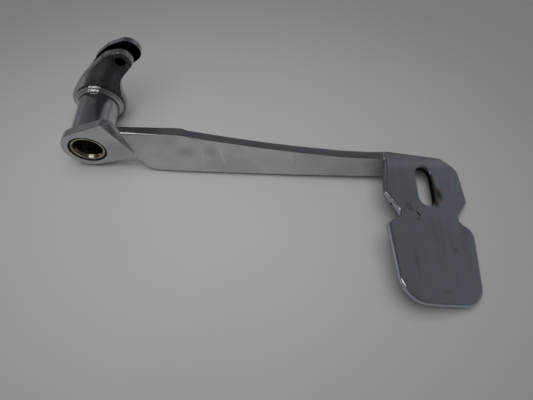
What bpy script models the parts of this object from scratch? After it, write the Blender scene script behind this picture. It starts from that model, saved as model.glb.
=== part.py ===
"""Foot lever of a motorcycle: a bushed pivot, a flat arm, a foot plate and a push-rod clevis.

Every piece is modelled around the pivot bore: X runs along the arm, Y runs back
along the bore, Z is up, and the bore's front rim is centred on the origin. The
empty "pivot_frame" then lifts and tips the lever so that it lies on the ground.
"""

import math

import bmesh
import bpy
from mathutils import Matrix, Vector

MM = 0.001
FIT_GAP = 0.3 * MM

# Pivot: a bushed tube behind the eye, centred on the Y axis.
PIVOT_PLACE = Vector((-124.43, 21.12, 22.377)) * MM
PIVOT_TILT = (math.radians(-3.03), math.radians(1.66), 0.0)
BORE_RADIUS = 9.525 * MM
BUSH_RADIUS = 12.15 * MM
BUSH_LENGTH = 18.0 * MM
BUSH_RECESS = 0.4 * MM
SEAL_RADIUS = 13.4 * MM
SEAL_WIDTH = 2.0 * MM
SEAL_SEAT_DEPTH = SEAL_WIDTH + 2.0 * BUSH_RECESS + FIT_GAP
TUBE_BORE_RADIUS = BUSH_RADIUS + FIT_GAP
TUBE_RADIUS = 14.6 * MM
TUBE_END = 53.6 * MM
WELD_ROOM_RADIUS = 17.4 * MM

# Eye: a round boss drawn out to a slanted shoulder, where the arm starts.
EYE_RADIUS = 18.5 * MM
EYE_THICKNESS = 6.2 * MM
SHOULDER_TOP = Vector((16.4, 27.3)) * MM
SHOULDER_TIP = Vector((36.6, -11.8)) * MM

# Arm: a tapered bar that leans back and swings out a little from the shoulder.
ARM_THICKNESS = 6.2 * MM
ARM_LEAN = math.radians(9.0)
ARM_SWING = math.radians(3.0)
ARM_STEP = 1.0 * MM
ARM_TOP_EDGE = [(-12.0, 27.6), (0.4, 27.8), (31.4, 27.2), (51.5, 25.6), (86.5, 22.4),
                (143.6, 19.6), (177.0, 19.6)]
ARM_LOWER_EDGE = [(177.0, 2.2), (146.6, -0.4), (112.6, -2.7), (86.5, -4.3), (47.5, -6.4),
                  (15.0, -7.6), (8.0, -6.9)]
ARM_ROOT = [(3.2, -4.0), (0.0, 0.0), (-12.0, 12.0)]

# Clevis: a plate on the tube and a tab behind it, with a gap for the push-rod's eye.
LOBE_RADIUS = 19.8 * MM
CLEVIS_THICKNESS = 5.2 * MM
CLEVIS_GAP = 5.8 * MM
CLEVIS_FRONT = 44.6 * MM
CLEVIS_REAR = CLEVIS_FRONT + CLEVIS_THICKNESS + CLEVIS_GAP
PIN_HOLE = Vector((25.9, 41.6)) * MM
PIN_HOLE_RADIUS = 3.3 * MM
SPACER_CENTRE = Vector((6.0, 21.5)) * MM
SPACER_RADIUS = 6.0 * MM

# Foot plate: its own X runs across it and its own Y runs from its outer end to the arm.
PLATE_THICKNESS = 5.2 * MM
PLATE_PLACE = Vector((238.1, -44.6, -2.5)) * MM
PLATE_TURN = (math.radians(4.4), math.radians(17.0), math.radians(4.5))
PLATE_LENGTH_OUT = 60.0
PLATE_LENGTH_IN = 48.2
PLATE_BEND = math.radians(-12.0)
BEND_POINT = Vector((-3.2, 36.8, 0.0)) * MM
BEND_SKEW = math.radians(8.5)
PLATE_EDGE = -28.0 * MM
PLATE_EDGE_DEPTH = 8.4 * MM
SLOT_WIDTH = 13.4 * MM
SLOT_LENGTH = 30.0 * MM
SLOT_CENTRE = Vector((0.1, 22.0)) * MM

RING_STEPS = 40
ARC_STEP = math.radians(15.0)


# ---------------------------------------------------------------- scene and materials

def clear_scene():
    for old in list(bpy.data.objects):
        bpy.data.objects.remove(old, do_unlink=True)


def collection(name):
    made = bpy.data.collections.new(name)
    bpy.context.scene.collection.children.link(made)
    return made


def material(name, colour, metallic, roughness):
    made = bpy.data.materials.new(name)
    made.use_nodes = True
    shader = made.node_tree.nodes["Principled BSDF"]
    shader.inputs["Base Color"].default_value = (*colour, 1.0)
    shader.inputs["Metallic"].default_value = metallic
    shader.inputs["Roughness"].default_value = roughness
    return made


def chrome(name):
    return material(name, (0.62, 0.64, 0.67), 1.0, 0.14)


def add_part(name, mesh, finish, smooth_angle=35.0):
    """Put a mesh in the parts collection under the pivot frame, with its own material."""
    part = bpy.data.objects.new(name, mesh)
    parts.objects.link(part)
    part.parent = pivot_frame
    mesh.materials.clear()
    mesh.materials.append(finish)
    mesh.shade_smooth()
    mesh.set_sharp_from_angle(angle=math.radians(smooth_angle))
    return part


# ---------------------------------------------------------------- outlines

def circle(centre, radius, steps=RING_STEPS):
    return [centre + radius * Vector((math.cos(a), math.sin(a)))
            for a in (2.0 * math.pi * i / steps for i in range(steps))]


def arc(centre, radius, start, end):
    """Points from angle start to angle end, in degrees, turning either way."""
    count = max(2, round(abs(math.radians(end - start)) / ARC_STEP))
    angles = [math.radians(start + (end - start) * i / count) for i in range(count + 1)]
    return [centre + radius * Vector((math.cos(a), math.sin(a))) for a in angles]


def rounded(corners):
    """A closed outline from (x, y, radius) corners, each rounded by an arc."""
    points = []
    for i, (x, y, radius) in enumerate(corners):
        here = Vector((x, y))
        before = (Vector(corners[i - 1][:2]) - here).normalized()
        after = (Vector(corners[(i + 1) % len(corners)][:2]) - here).normalized()
        if radius == 0.0:
            points.append(here)
            continue
        half_angle = before.angle(after) / 2.0
        centre = here + (before + after).normalized() * radius / math.sin(half_angle)
        reach = radius / math.tan(half_angle)
        first = here + before * reach - centre
        turn = first.angle_signed(here + after * reach - centre)
        steps = max(2, round(abs(turn) / ARC_STEP))
        for k in range(steps + 1):
            points.append(centre + Matrix.Rotation(-turn * k / steps, 2) @ first)
    return points


def tangent_angle(point, radius, side):
    """The angle in degrees at which a line from the point touches a circle at the origin."""
    spread = math.degrees(math.acos(radius / point.length))
    return math.degrees(math.atan2(point.y, point.x)) + side * spread


# ---------------------------------------------------------------- solids

def curve_mesh(curve):
    """Turn a curve into a mesh whose caps are welded to its sides."""
    holder = bpy.data.objects.new("curve_holder", curve)
    bpy.context.scene.collection.objects.link(holder)
    graph = bpy.context.evaluated_depsgraph_get()
    mesh = bpy.data.meshes.new_from_object(holder.evaluated_get(graph))
    bpy.data.objects.remove(holder, do_unlink=True)
    bpy.data.curves.remove(curve)
    shell = bmesh.new()
    shell.from_mesh(mesh)
    bmesh.ops.remove_doubles(shell, verts=shell.verts, dist=0.01 * MM)
    bmesh.ops.recalc_face_normals(shell, faces=shell.faces)
    shell.to_mesh(mesh)
    shell.free()
    return mesh


def slab_mesh(name, outlines, thickness, chamfer=0.0):
    """A flat plate of the given outlines in XY, the later ones holes, centred on Z = 0."""
    curve = bpy.data.curves.new(name, "CURVE")
    curve.dimensions = "2D"
    curve.fill_mode = "BOTH"
    curve.extrude = thickness / 2.0 - chamfer
    curve.bevel_depth = chamfer
    curve.bevel_resolution = 0
    curve.offset = -chamfer
    for outline in outlines:
        spline = curve.splines.new("POLY")
        spline.points.add(len(outline) - 1)
        for spot, point in zip(spline.points, outline):
            spot.co = (point.x, point.y, 0.0, 1.0)
        spline.use_cyclic_u = True
    return curve_mesh(curve)


def upright(mesh, front):
    """Stand an XY slab up in the XZ plane, with its front face at the given Y."""
    depth = max(v.co.z for v in mesh.vertices)
    mesh.transform(Matrix.Translation((0.0, front + depth, 0.0)) @ Matrix.Rotation(math.pi / 2.0, 4, "X"))
    return mesh


def turned(name, profile, finish):
    """A ring turned about the bore: profile points are (radius, y), outer side from high y to low y."""
    mesh = bpy.data.meshes.new(name)
    edges = [(i, (i + 1) % len(profile)) for i in range(len(profile))]
    mesh.from_pydata([(r, 0.0, y) for r, y in profile], edges, [])
    ring = add_part(name, mesh, finish)
    ring.rotation_euler = (-math.pi / 2.0, 0.0, 0.0)
    screw = ring.modifiers.new("Turn", "SCREW")
    screw.steps = RING_STEPS
    screw.render_steps = RING_STEPS
    screw.use_merge_vertices = True
    screw.merge_threshold = 0.01 * MM
    return ring


def bead(name, route, radius, finish):
    """A weld bead: a round rod along the route."""
    curve = bpy.data.curves.new(name, "CURVE")
    curve.dimensions = "3D"
    curve.bevel_depth = radius
    curve.bevel_resolution = 2
    curve.use_fill_caps = True
    spline = curve.splines.new("POLY")
    spline.points.add(len(route) - 1)
    for spot, point in zip(spline.points, route):
        spot.co = (*(Vector(point) * MM), 1.0)
    return add_part(name, curve_mesh(curve), finish)


def cutter(name, mesh):
    tool = bpy.data.objects.new(name, mesh)
    cutters.objects.link(tool)
    tool.parent = pivot_frame
    tool.hide_render = True
    tool.display_type = "WIRE"
    return tool


def bore_cutter(name, radius, start, end):
    mesh = slab_mesh(name, [circle(Vector((0.0, 0.0)), radius)], end - start)
    return cutter(name, upright(mesh, start))


def combine(part, tool, operation):
    step = part.modifiers.new(operation.title(), "BOOLEAN")
    step.operation = operation
    step.solver = "EXACT"
    step.object = tool


# ---------------------------------------------------------------- the pieces

def eye_outline():
    """A circle drawn out to the slanted shoulder by two tangent lines."""
    start = tangent_angle(SHOULDER_TOP, EYE_RADIUS, 1.0)
    end = tangent_angle(SHOULDER_TIP, EYE_RADIUS, -1.0) + 360.0
    return [SHOULDER_TIP, SHOULDER_TOP] + arc(Vector((0.0, 0.0)), EYE_RADIUS, start, end)


def neck_outline():
    """The web that carries the eye's underside over to the arm's root."""
    corners = [(0.0, -17.6, 0.0), (28.0, -16.6, 6.0), (46.0, -18.6, 0.0), (52.0, 6.0, 0.0),
               (24.0, 8.0, 0.0), (18.0, -6.0, 0.0)]
    return [p * MM for p in rounded(corners)]


def arm_outline():
    return [Vector(p) * MM for p in ARM_TOP_EDGE + ARM_LOWER_EDGE + ARM_ROOT]


def make_lever_arm(finish):
    arm = add_part("lever_arm", upright(slab_mesh("eye", [eye_outline()], EYE_THICKNESS), 0.0), finish)

    neck = upright(slab_mesh("neck", [neck_outline()], 3.8 * MM), 2.0 * MM)
    combine(arm, cutter("neck_web", neck), "UNION")

    bar = upright(slab_mesh("bar", [arm_outline()], ARM_THICKNESS), 0.0)
    bar_tool = cutter("arm_bar", bar)
    bar_tool.location = (SHOULDER_TIP.x, -ARM_STEP, SHOULDER_TIP.y)
    bar_tool.rotation_euler = (-ARM_LEAN, 0.0, -ARM_SWING)
    combine(arm, bar_tool, "UNION")

    bore_end = EYE_THICKNESS + 4.0 * MM
    combine(arm, bore_cutter("eye_bore", TUBE_BORE_RADIUS, -5.0 * MM, bore_end), "DIFFERENCE")
    seal_seat = bore_cutter("seal_seat", SEAL_RADIUS + FIT_GAP, -5.0 * MM, SEAL_SEAT_DEPTH)
    combine(arm, seal_seat, "DIFFERENCE")
    combine(arm, bore_cutter("tube_room", WELD_ROOM_RADIUS, EYE_THICKNESS, bore_end), "DIFFERENCE")
    return arm


def ring_profile(inner, outer, start, end, chamfer):
    outer_side = [(outer - chamfer, end), (outer, end - chamfer), (outer, start + chamfer),
                  (outer - chamfer, start)]
    inner_side = [(inner + chamfer, start), (inner, start + chamfer), (inner, end - chamfer),
                  (inner + chamfer, end)]
    return outer_side + inner_side


def make_pivot():
    tube_start = EYE_THICKNESS + FIT_GAP
    tube = [(TUBE_RADIUS, TUBE_END), (TUBE_RADIUS, tube_start), (TUBE_BORE_RADIUS, tube_start),
            (TUBE_BORE_RADIUS, TUBE_END - SEAL_SEAT_DEPTH),
            (SEAL_RADIUS + FIT_GAP, TUBE_END - SEAL_SEAT_DEPTH), (SEAL_RADIUS + FIT_GAP, TUBE_END)]
    turned("pivot_tube", tube, chrome("tube_chrome"))

    rear_end = TUBE_END - BUSH_RECESS
    for place, start in (("front", BUSH_RECESS), ("rear", rear_end - BUSH_LENGTH)):
        bronze = material(place + "_bush_bronze", (0.72, 0.56, 0.33), 1.0, 0.34)
        bush = ring_profile(BORE_RADIUS, BUSH_RADIUS, start, start + BUSH_LENGTH, 0.5 * MM)
        turned(place + "_bush", bush, bronze)

    for place, start in (("front", 2.0 * BUSH_RECESS), ("rear", rear_end - BUSH_RECESS - SEAL_WIDTH)):
        rubber = material(place + "_seal_rubber", (0.012, 0.012, 0.013), 0.0, 0.55)
        seal = ring_profile(BUSH_RADIUS + FIT_GAP, SEAL_RADIUS, start, start + SEAL_WIDTH, 0.25 * MM)
        turned(place + "_seal_ring", seal, rubber)


def front_plate_outline():
    """A lobe round the tube, a hollow inner edge, a round tip and a bowed back edge, in mm."""
    lobe = arc(Vector((0.0, 0.0)), LOBE_RADIUS / MM, 139.0, 374.0)
    inner_edge = [Vector(p) for p in ((19.2, 9.5), (20.2, 17.0), (22.2, 23.2), (25.6, 28.8))]
    tip = arc(Vector((25.9, 41.4)), 8.2, -42.0, 98.0)
    back_edge = [Vector(p) for p in ((16.4, 46.6), (8.2, 39.6), (-4.2, 27.3), (-10.4, 19.2))]
    return [p * MM for p in lobe + inner_edge + tip + back_edge]


def rear_tab_outline():
    """A round foot on the spacer, widening to a blunt tip, in mm."""
    foot = arc(SPACER_CENTRE / MM, 9.0, 160.0, 315.0)
    tip = arc(Vector((28.3, 40.2)), 9.6, -48.0, 92.0)
    back_edge = [Vector(p) for p in ((17.0, 45.2), (6.6, 36.6), (3.6, 32.4))]
    return [p * MM for p in foot + tip + back_edge]


def make_clevis():
    tube_hole = circle(Vector((0.0, 0.0)), TUBE_RADIUS + FIT_GAP)
    pin_hole = circle(PIN_HOLE, PIN_HOLE_RADIUS, 20)
    plates = {
        "clevis_front_plate": ([front_plate_outline(), tube_hole, pin_hole], CLEVIS_FRONT),
        "clevis_rear_tab": ([rear_tab_outline(), pin_hole], CLEVIS_REAR),
    }
    for name, (outlines, front) in plates.items():
        mesh = slab_mesh(name, outlines, CLEVIS_THICKNESS, 0.5 * MM)
        add_part(name, upright(mesh, front), chrome(name + "_chrome"))

    spacer_length = CLEVIS_GAP - 2.0 * FIT_GAP
    spacer = slab_mesh("clevis_spacer", [circle(SPACER_CENTRE, SPACER_RADIUS, 24)], spacer_length)
    start = CLEVIS_FRONT + CLEVIS_THICKNESS + FIT_GAP
    add_part("clevis_spacer", upright(spacer, start), chrome("clevis_spacer_chrome"))


def make_pivot_welds():
    """Weld rings round the tube: at the eye, and before and behind the front plate."""
    inner = TUBE_RADIUS + FIT_GAP
    start = EYE_THICKNESS + FIT_GAP
    eye_ring = [(inner, start + 2.0 * MM), (inner + 1.2 * MM, start + 1.6 * MM), (inner + 2.1 * MM, start),
                (inner, start)]
    turned("eye_weld", eye_ring, chrome("eye_weld_chrome"))

    end = CLEVIS_FRONT - FIT_GAP
    front_ring = [(17.8 * MM, end), (17.9 * MM, end - 0.8 * MM), (17.2 * MM, end - 1.5 * MM),
                  (16.3 * MM, end - 1.7 * MM), (16.4 * MM, end - 2.6 * MM), (15.7 * MM, end - 3.4 * MM),
                  (inner, end - 3.6 * MM), (inner, end)]
    turned("clevis_front_weld", front_ring, chrome("clevis_front_weld_chrome"))

    back = CLEVIS_FRONT + CLEVIS_THICKNESS + FIT_GAP
    rear_ring = [(inner, back + 1.6 * MM), (15.6 * MM, back + 1.3 * MM), (16.4 * MM, back), (inner, back)]
    turned("clevis_rear_weld", rear_ring, chrome("clevis_rear_weld_chrome"))


def foot_plate_outline():
    """Two equal pads with a waist between them, in mm, from the arm's end round to the outer end."""
    side = [(31.8, 13.4, 2.0), (20.6, -0.9, 4.5), (32.4, -8.0, 4.5), (28.8, -PLATE_LENGTH_OUT, 13.5)]
    right = [(15.5, PLATE_LENGTH_IN, 3.0), (28.8, 38.4, 8.0)] + side
    left = [(-x, y, r) for x, y, r in reversed(side)] + [(-27.4, 40.0, 2.0), (-25.4, PLATE_LENGTH_IN, 2.0)]
    return [p * MM for p in rounded(right + left)]


def slot_outline():
    half = (SLOT_LENGTH - SLOT_WIDTH) / 2.0
    up = Vector((0.0, half))
    return (arc(SLOT_CENTRE + up, SLOT_WIDTH / 2.0, 0.0, 180.0)
            + arc(SLOT_CENTRE - up, SLOT_WIDTH / 2.0, 180.0, 360.0))


def bend_lip(mesh):
    """Fold the plate's inner lip down along a line that runs slightly askew."""
    across = Vector((math.cos(BEND_SKEW), math.sin(BEND_SKEW), 0.0))
    inward = Vector((-math.sin(BEND_SKEW), math.cos(BEND_SKEW), 0.0))
    sheet = bmesh.new()
    sheet.from_mesh(mesh)
    geometry = sheet.verts[:] + sheet.edges[:] + sheet.faces[:]
    bmesh.ops.bisect_plane(sheet, geom=geometry, plane_co=BEND_POINT, plane_no=inward, dist=0.001 * MM)
    lip = [v for v in sheet.verts if (v.co - BEND_POINT).dot(inward) > 0.01 * MM]
    bmesh.ops.rotate(sheet, verts=lip, cent=BEND_POINT, matrix=Matrix.Rotation(PLATE_BEND, 3, across))
    sheet.to_mesh(mesh)
    sheet.free()


def make_foot_plate(finish):
    mesh = slab_mesh("foot_plate", [foot_plate_outline(), slot_outline()], PLATE_THICKNESS, 0.8 * MM)
    bend_lip(mesh)
    mesh.transform(Matrix.Translation((0.0, 0.0, -PLATE_THICKNESS / 2.0)))
    plate = add_part("foot_plate", mesh, finish)
    plate.location = PLATE_PLACE
    plate.rotation_euler = PLATE_TURN
    return plate


def cut_arm_end(arm):
    """Cut the arm's end square to the plate's edge, which leaves a short tongue under the plate."""
    low = Vector((PLATE_EDGE - FIT_GAP, 20.0 * MM, -PLATE_EDGE_DEPTH))
    high = Vector((0.0, 60.0 * MM, 15.0 * MM))
    room = bmesh.new()
    bmesh.ops.create_cube(room, size=1.0)
    bmesh.ops.scale(room, vec=high - low, verts=room.verts)
    bmesh.ops.translate(room, vec=(low + high) / 2.0, verts=room.verts)
    mesh = bpy.data.meshes.new("plate_room")
    room.to_mesh(mesh)
    room.free()
    tool = cutter("plate_room", mesh)
    tool.location = PLATE_PLACE
    tool.rotation_euler = PLATE_TURN
    combine(arm, tool, "DIFFERENCE")


def make_plate_welds(arm, plate):
    """Beads where the arm's end meets the plate; each lies in a groove cut into both."""
    routes = {
        "plate_top_weld": [(209.5, -0.4, 7.3), (209.2, -4.5, 7.9), (208.9, -8.4, 8.2)],
        "plate_under_weld": [(211.4, -1.0, 1.0), (211.6, -4.8, 0.9), (211.8, -8.6, 0.8)],
    }
    for name, route in routes.items():
        rod = bead(name, route, 2.0 * MM, chrome(name + "_chrome"))
        groove = bead(name + "_groove", route, 2.0 * MM + FIT_GAP, rod.data.materials[0])
        parts.objects.unlink(groove)
        cutters.objects.link(groove)
        groove.hide_render = True
        groove.display_type = "WIRE"
        for piece in (arm, plate):
            combine(piece, groove, "DIFFERENCE")


clear_scene()
parts = collection("foot_lever")
cutters = collection("cutters")
pivot_frame = bpy.data.objects.new("pivot_frame", None)
pivot_frame.location = PIVOT_PLACE
pivot_frame.rotation_euler = PIVOT_TILT
parts.objects.link(pivot_frame)

lever_arm = make_lever_arm(chrome("arm_chrome"))
make_pivot()
make_clevis()
make_pivot_welds()
foot_plate = make_foot_plate(chrome("plate_chrome"))
cut_arm_end(lever_arm)
make_plate_welds(lever_arm, foot_plate)
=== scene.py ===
"""Looks of the chromed foot lever: fine meshes with rounded edges and worn plating.

The meshes are made round the pivot bore, as the CAD solids are: X along the arm,
Y back along the bore, Z up, in metres. PIVOT then sets them down on the ground.
"""

import math

import bmesh
import bpy
import numpy as np
from mathutils import Euler, Matrix, Vector


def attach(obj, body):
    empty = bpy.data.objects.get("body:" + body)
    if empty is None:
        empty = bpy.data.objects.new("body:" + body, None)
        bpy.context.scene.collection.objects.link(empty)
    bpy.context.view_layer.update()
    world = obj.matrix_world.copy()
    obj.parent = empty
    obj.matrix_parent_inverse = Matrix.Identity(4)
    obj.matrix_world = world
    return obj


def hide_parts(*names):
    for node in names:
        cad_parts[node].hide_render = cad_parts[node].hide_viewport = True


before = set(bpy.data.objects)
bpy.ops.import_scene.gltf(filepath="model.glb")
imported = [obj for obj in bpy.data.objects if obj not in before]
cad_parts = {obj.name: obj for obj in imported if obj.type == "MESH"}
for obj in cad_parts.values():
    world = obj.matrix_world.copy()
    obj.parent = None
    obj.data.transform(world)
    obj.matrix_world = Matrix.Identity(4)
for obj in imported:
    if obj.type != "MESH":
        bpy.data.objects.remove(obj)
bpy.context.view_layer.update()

MM = 0.001

# ---------------------------------------------------------------- sizes
# They follow the CAD's, except that the clevis, the arm, the eye's shoulder, the bush mouths,
# the weld beads and the foot plate's outline are shaped more finely here. Those differ from
# the CAD's by up to 6 mm, and the hidden top of the web under the eye by 10 mm.

PIVOT = Matrix.LocRotScale(Vector((-124.43, 21.12, 22.377)) * MM,
                           Euler((math.radians(-3.03), math.radians(1.66), 0.0)), None)
GAP = 0.3 * MM
BORE_RADIUS = 9.525 * MM
BUSH_RADIUS = 12.15 * MM
BUSH_LENGTH = 18.0 * MM
BUSH_RECESS = 0.4 * MM
BUSH_CHAMFER = 1.2 * MM
BUSH_CHAMFER_DEPTH = 2.6 * MM
SEAL_RADIUS = 13.4 * MM
SEAL_WIDTH = 2.0 * MM
SEAL_SEAT_DEPTH = SEAL_WIDTH + 2.0 * BUSH_RECESS + GAP
TUBE_BORE_RADIUS = BUSH_RADIUS + GAP
TUBE_RADIUS = 14.6 * MM
TUBE_END = 53.6 * MM
SEAL_EDGE = 0.25 * MM
WELD_ROOM_RADIUS = 17.4 * MM
WELD_SCALES = 34.0
WELD_SCALE_DEPTH = 0.16 * MM
BEAD_RADIUS = 1.7 * MM

EYE_RADIUS = 18.5 * MM
EYE_THICKNESS = 6.2 * MM
EYE_EDGE = 0.6 * MM
EYE_MIDDLE = Vector((6.0, 2.0)) * MM
SHOULDER_TOP = Vector((16.4, 27.3)) * MM
SHOULDER_TIP = Vector((34.0, -7.0)) * MM
SHOULDER_FLARE = Vector((4.6, 1.7)) * MM
SHOULDER_TIP_RADIUS = 0.8 * MM
SHOULDER_FRONT_RADIUS = 1.2 * MM
SHOULDER_BACK_RADIUS = 6.4 * MM

ARM_START = -19.0
ARM_CURVED_END = 62.0
ARM_END = 177.0
ARM_FRAME = Matrix.LocRotScale(Vector((36.6, -0.6, -11.8)) * MM,
                               Euler((math.radians(-9.0), 0.0, math.radians(-3.0))), None)
# Each is (distance along the arm, value), in mm.
ARM_TOP_EDGE = [(-30.0, 26.2), (0.4, 27.1), (20.0, 27.7), (31.4, 27.6), (51.5, 25.4), (86.5, 21.8),
                (115.0, 19.6), (143.6, 18.3), (160.0, 18.5), (170.0, 19.4), (200.0, 20.0)]
ARM_LOWER_EDGE = [(-30.0, 20.0), (-12.0, 14.0), (-2.6, 4.4), (0.0, 0.0), (3.2, -4.2), (8.0, -7.0),
                  (15.0, -7.7), (47.5, -6.6), (86.5, -4.9), (112.6, -3.3), (146.6, -1.0), (200.0, 3.4)]
ARM_THICKNESS = [(-30.0, 6.2), (0.0, 7.2), (14.0, 7.6), (28.0, 8.4), (31.0, 8.4), (35.0, 7.2),
                 (60.0, 7.8), (115.0, 8.4), (160.0, 8.8), (200.0, 8.8)]
FRONT_LOWER_ROUNDING = [(-12.0, 0.4), (0.0, 0.6), (14.0, 2.4), (60.0, 2.0), (120.0, 1.0), (170.0, 0.5)]
FRONT_TOP_ROUNDING = [(-19.0, 2.2), (-2.0, 2.0), (8.0, 0.9), (14.0, 0.5), (60.0, 0.3), (177.0, 0.3)]
FRONT_LEAN = [(-19.0, 0.0), (0.0, 0.2), (9.0, 1.3), (40.0, 1.2), (80.0, 0.4), (150.0, -0.2), (200.0, -0.5)]
BACK_TOP_ROUNDING = [(-19.0, 0.6), (34.0, 0.6), (60.0, 2.4), (110.0, 3.2), (177.0, 3.4)]

LOBE_RADIUS = 19.8 * MM
CLEVIS_THICKNESS = 4.9 * MM
CLEVIS_GAP = 6.2 * MM
CLEVIS_FRONT = 44.6 * MM
CLEVIS_REAR = CLEVIS_FRONT + CLEVIS_THICKNESS + CLEVIS_GAP
CLEVIS_EDGE = 0.7 * MM
PIN_HOLE = Vector((25.9, 41.6)) * MM
PIN_HOLE_RADIUS = 3.3 * MM
REAR_HOLE_RADIUS = 2.3 * MM
PIN_HOLE_EDGE = 0.25 * MM
SPACER_CENTRE = Vector((6.0, 21.5)) * MM
SPACER_RADIUS = 6.0 * MM
SPACER_EDGE = 0.4 * MM
NECK_FRONT = 2.8 * MM
NECK_THICKNESS = 3.2 * MM
NECK_EDGE = 0.9 * MM

PLATE_THICKNESS = 5.2 * MM
PLATE_FRAME = Matrix.LocRotScale(Vector((238.1, -44.6, -2.5)) * MM,
                                 Euler((math.radians(4.4), math.radians(17.0), math.radians(4.5))), None)
PLATE_ROUNDING = 1.6 * MM
PLATE_LENGTH_OUT = 60.0
PLATE_LENGTH_IN = 48.2
PLATE_BEND = math.radians(12.0)
BEND_WIDTH = 5.0 * MM
BEND_POINT = Vector((-3.2, 36.8, 0.0)) * MM
BEND_SKEW = math.radians(8.5)
BEND_CUTS = 8
PLATE_EDGE = -28.0 * MM
SLOT_WIDTH = 13.4 * MM
SLOT_LENGTH = 30.0 * MM
SLOT_CENTRE = Vector((0.1, 22.0)) * MM
SLOT_EDGE = 0.3 * MM

RING_STEPS = 144
BEAD_STEPS = 24
ARC_STEP = math.radians(4.0)
SAME_POINT = 0.005 * MM
FLAT_COSINE = math.cos(math.radians(0.4))


# ---------------------------------------------------------------- outlines

def circle(centre, radius, steps=72):
    return [centre + radius * Vector((math.cos(a), math.sin(a)))
            for a in (2.0 * math.pi * i / steps for i in range(steps))]


def arc(centre, radius, start, end):
    """Points from angle start to angle end, in degrees, turning either way."""
    count = max(2, round(abs(math.radians(end - start)) / ARC_STEP))
    angles = [math.radians(start + (end - start) * i / count) for i in range(count + 1)]
    return [centre + radius * Vector((math.cos(a), math.sin(a))) for a in angles]


def rounded(corners, steps=None):
    """A closed outline from (x, y, radius) corners, each rounded by an arc."""
    points = []
    for i, (x, y, radius) in enumerate(corners):
        here = Vector((x, y))
        before = (Vector(corners[i - 1][:2]) - here).normalized()
        after = (Vector(corners[(i + 1) % len(corners)][:2]) - here).normalized()
        if radius == 0.0:
            points.append(here)
            continue
        half_angle = before.angle(after) / 2.0
        centre = here + (before + after).normalized() * radius / math.sin(half_angle)
        reach = radius / math.tan(half_angle)
        first = here + before * reach - centre
        turn = first.angle_signed(here + after * reach - centre)
        count = steps or max(2, round(abs(turn) / ARC_STEP))
        for k in range(count + 1):
            points.append(centre + Matrix.Rotation(-turn * k / count, 2) @ first)
    return points


def smooth_curve(points, steps):
    """A Catmull-Rom curve through open points, with its own ends kept."""
    padded = [2.0 * points[0] - points[1]] + list(points) + [2.0 * points[-1] - points[-2]]
    curve = []
    for a, b, c, d in zip(padded, padded[1:], padded[2:], padded[3:]):
        for k in range(steps):
            t = k / steps
            curve.append(0.5 * (2.0 * b + (c - a) * t + (2.0 * a - 5.0 * b + 4.0 * c - d) * t * t
                                + (3.0 * b - a - 3.0 * c + d) * t * t * t))
    curve.append(points[-1])
    return curve


def tangent_angle(point, radius, side):
    """The angle in degrees at which a line from the point touches a circle at the origin."""
    spread = math.degrees(math.acos(radius / point.length))
    return math.degrees(math.atan2(point.y, point.x)) + side * spread


def blended(table, x, reach=5.0):
    """A value from (x, value) pairs at x, averaged over a short stretch so that it has no kinks."""
    xs, values = zip(*table)
    return float(np.mean(np.interp(np.linspace(x - reach, x + reach, 15), xs, values)))


# ---------------------------------------------------------------- meshes

def face_outward(mesh, join=False):
    """Turn a mesh's faces outward, after joining the points that lie on each other if asked."""
    shell = bmesh.new()
    shell.from_mesh(mesh)
    if join:
        bmesh.ops.remove_doubles(shell, verts=shell.verts, dist=SAME_POINT)
    bmesh.ops.recalc_face_normals(shell, faces=shell.faces)
    shell.to_mesh(mesh)
    shell.free()
    return mesh


def slab_mesh(name, outline, thickness, edge=0.0, segments=4):
    """A flat plate with an outline in XY, its edges rounded by the radius edge."""
    curve = bpy.data.curves.new(name, "CURVE")
    curve.dimensions = "2D"
    curve.fill_mode = "BOTH"
    curve.extrude = thickness / 2.0 - edge
    curve.bevel_depth = edge
    curve.bevel_resolution = segments - 1
    curve.offset = -edge
    spline = curve.splines.new("POLY")
    spline.points.add(len(outline) - 1)
    for spot, point in zip(spline.points, outline):
        spot.co = (point.x, point.y, 0.0, 1.0)
    spline.use_cyclic_u = True
    holder = bpy.data.objects.new("curve_holder", curve)
    bpy.context.scene.collection.objects.link(holder)
    graph = bpy.context.evaluated_depsgraph_get()
    mesh = bpy.data.meshes.new_from_object(holder.evaluated_get(graph))
    bpy.data.objects.remove(holder, do_unlink=True)
    bpy.data.curves.remove(curve)
    return face_outward(mesh, join=True)


def upright(mesh, front, thickness):
    """Stand an XY slab up in the XZ plane, with its front face at the given Y."""
    turn = Matrix.Rotation(math.pi / 2.0, 4, "X")
    mesh.transform(Matrix.Translation((0.0, front + thickness / 2.0, 0.0)) @ turn)
    return mesh


def loft_mesh(name, rings):
    """A closed body through rings of points, all of the same count, with flat ends."""
    count = len(rings[0])
    last = (len(rings) - 1) * count
    faces = [(first + i, first + (i + 1) % count, first + count + (i + 1) % count, first + count + i)
             for first in range(0, last, count) for i in range(count)]
    faces.append(tuple(range(count - 1, -1, -1)))
    faces.append(tuple(range(last, last + count)))
    mesh = bpy.data.meshes.new(name)
    mesh.from_pydata([p for ring in rings for p in ring], [], faces)
    return face_outward(mesh)


def ring_profile(corners, steps=5):
    """A (radius, y) profile from (radius, y, rounding) corners."""
    return [tuple(p) for p in rounded(corners, steps)]


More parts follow.
